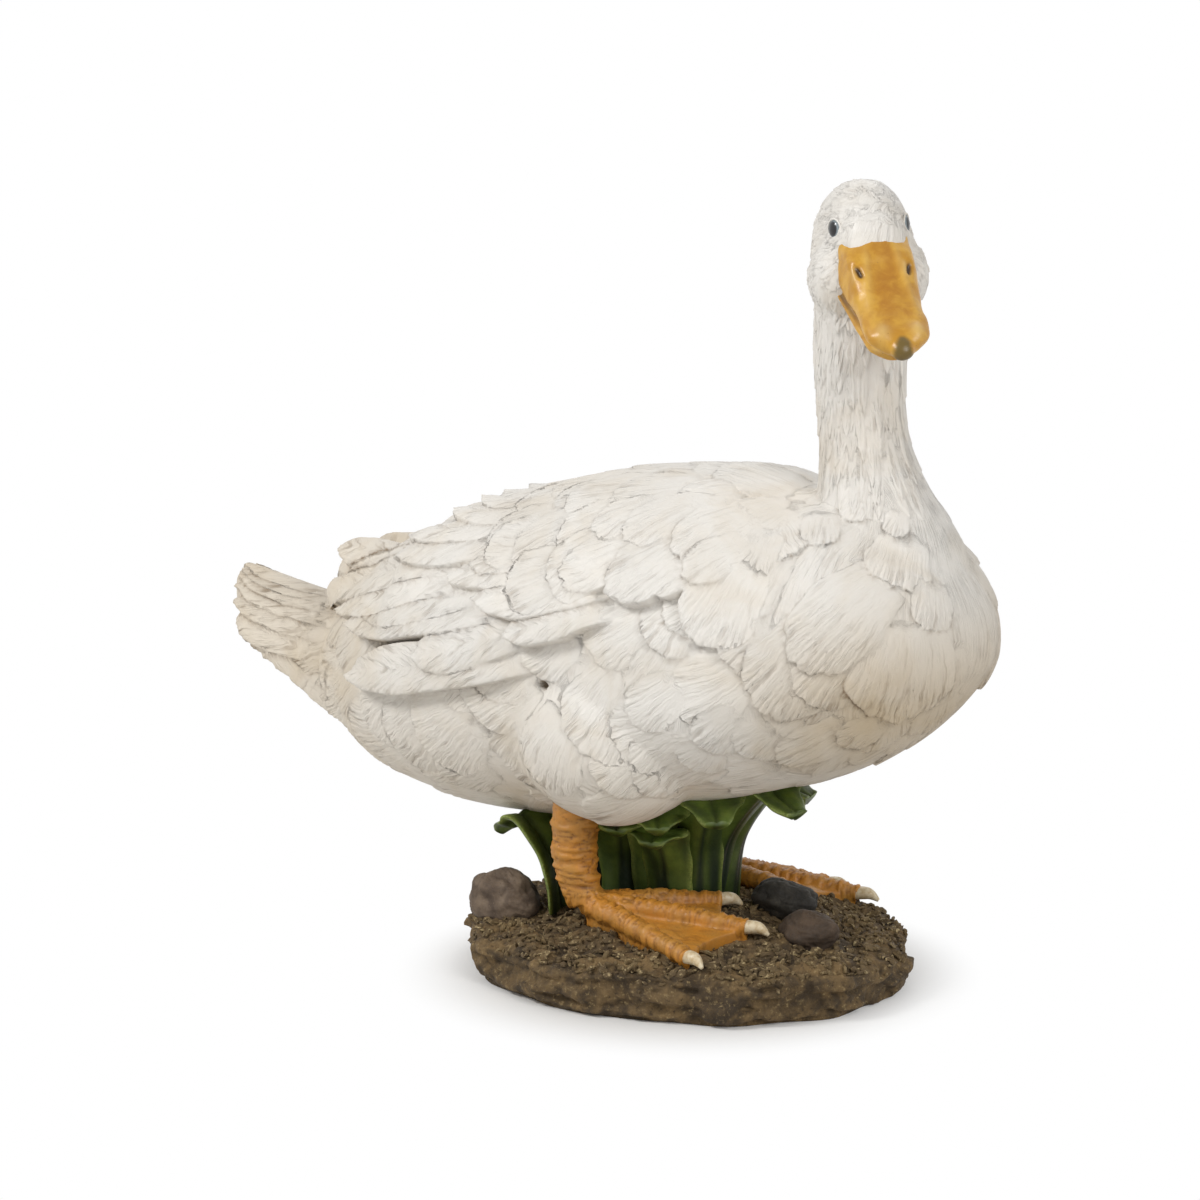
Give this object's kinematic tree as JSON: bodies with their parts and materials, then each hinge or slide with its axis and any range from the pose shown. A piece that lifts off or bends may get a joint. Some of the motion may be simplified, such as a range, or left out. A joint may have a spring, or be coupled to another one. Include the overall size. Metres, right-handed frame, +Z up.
{
  "type": "garden ornament",
  "caption": "Standing white duck with turned head on a patch of earth with leaves and stones, one solid casting that rests on its flat underside.",
  "frame": {"origin": "middle of the flat underside of the earth base", "axes": "+X the way the duck's body faces, +Y its left side, +Z up"},
  "size_m": [0.4516, 0.1958, 0.4043],
  "materials": {
    "painted_resin": "cast resin painted by hand, off-white with a warm wash in the carved lines, matt"
  },
  "bodies": {
    "root": {"duck_ornament": "painted_resin"}
  },
  "joints": []
}
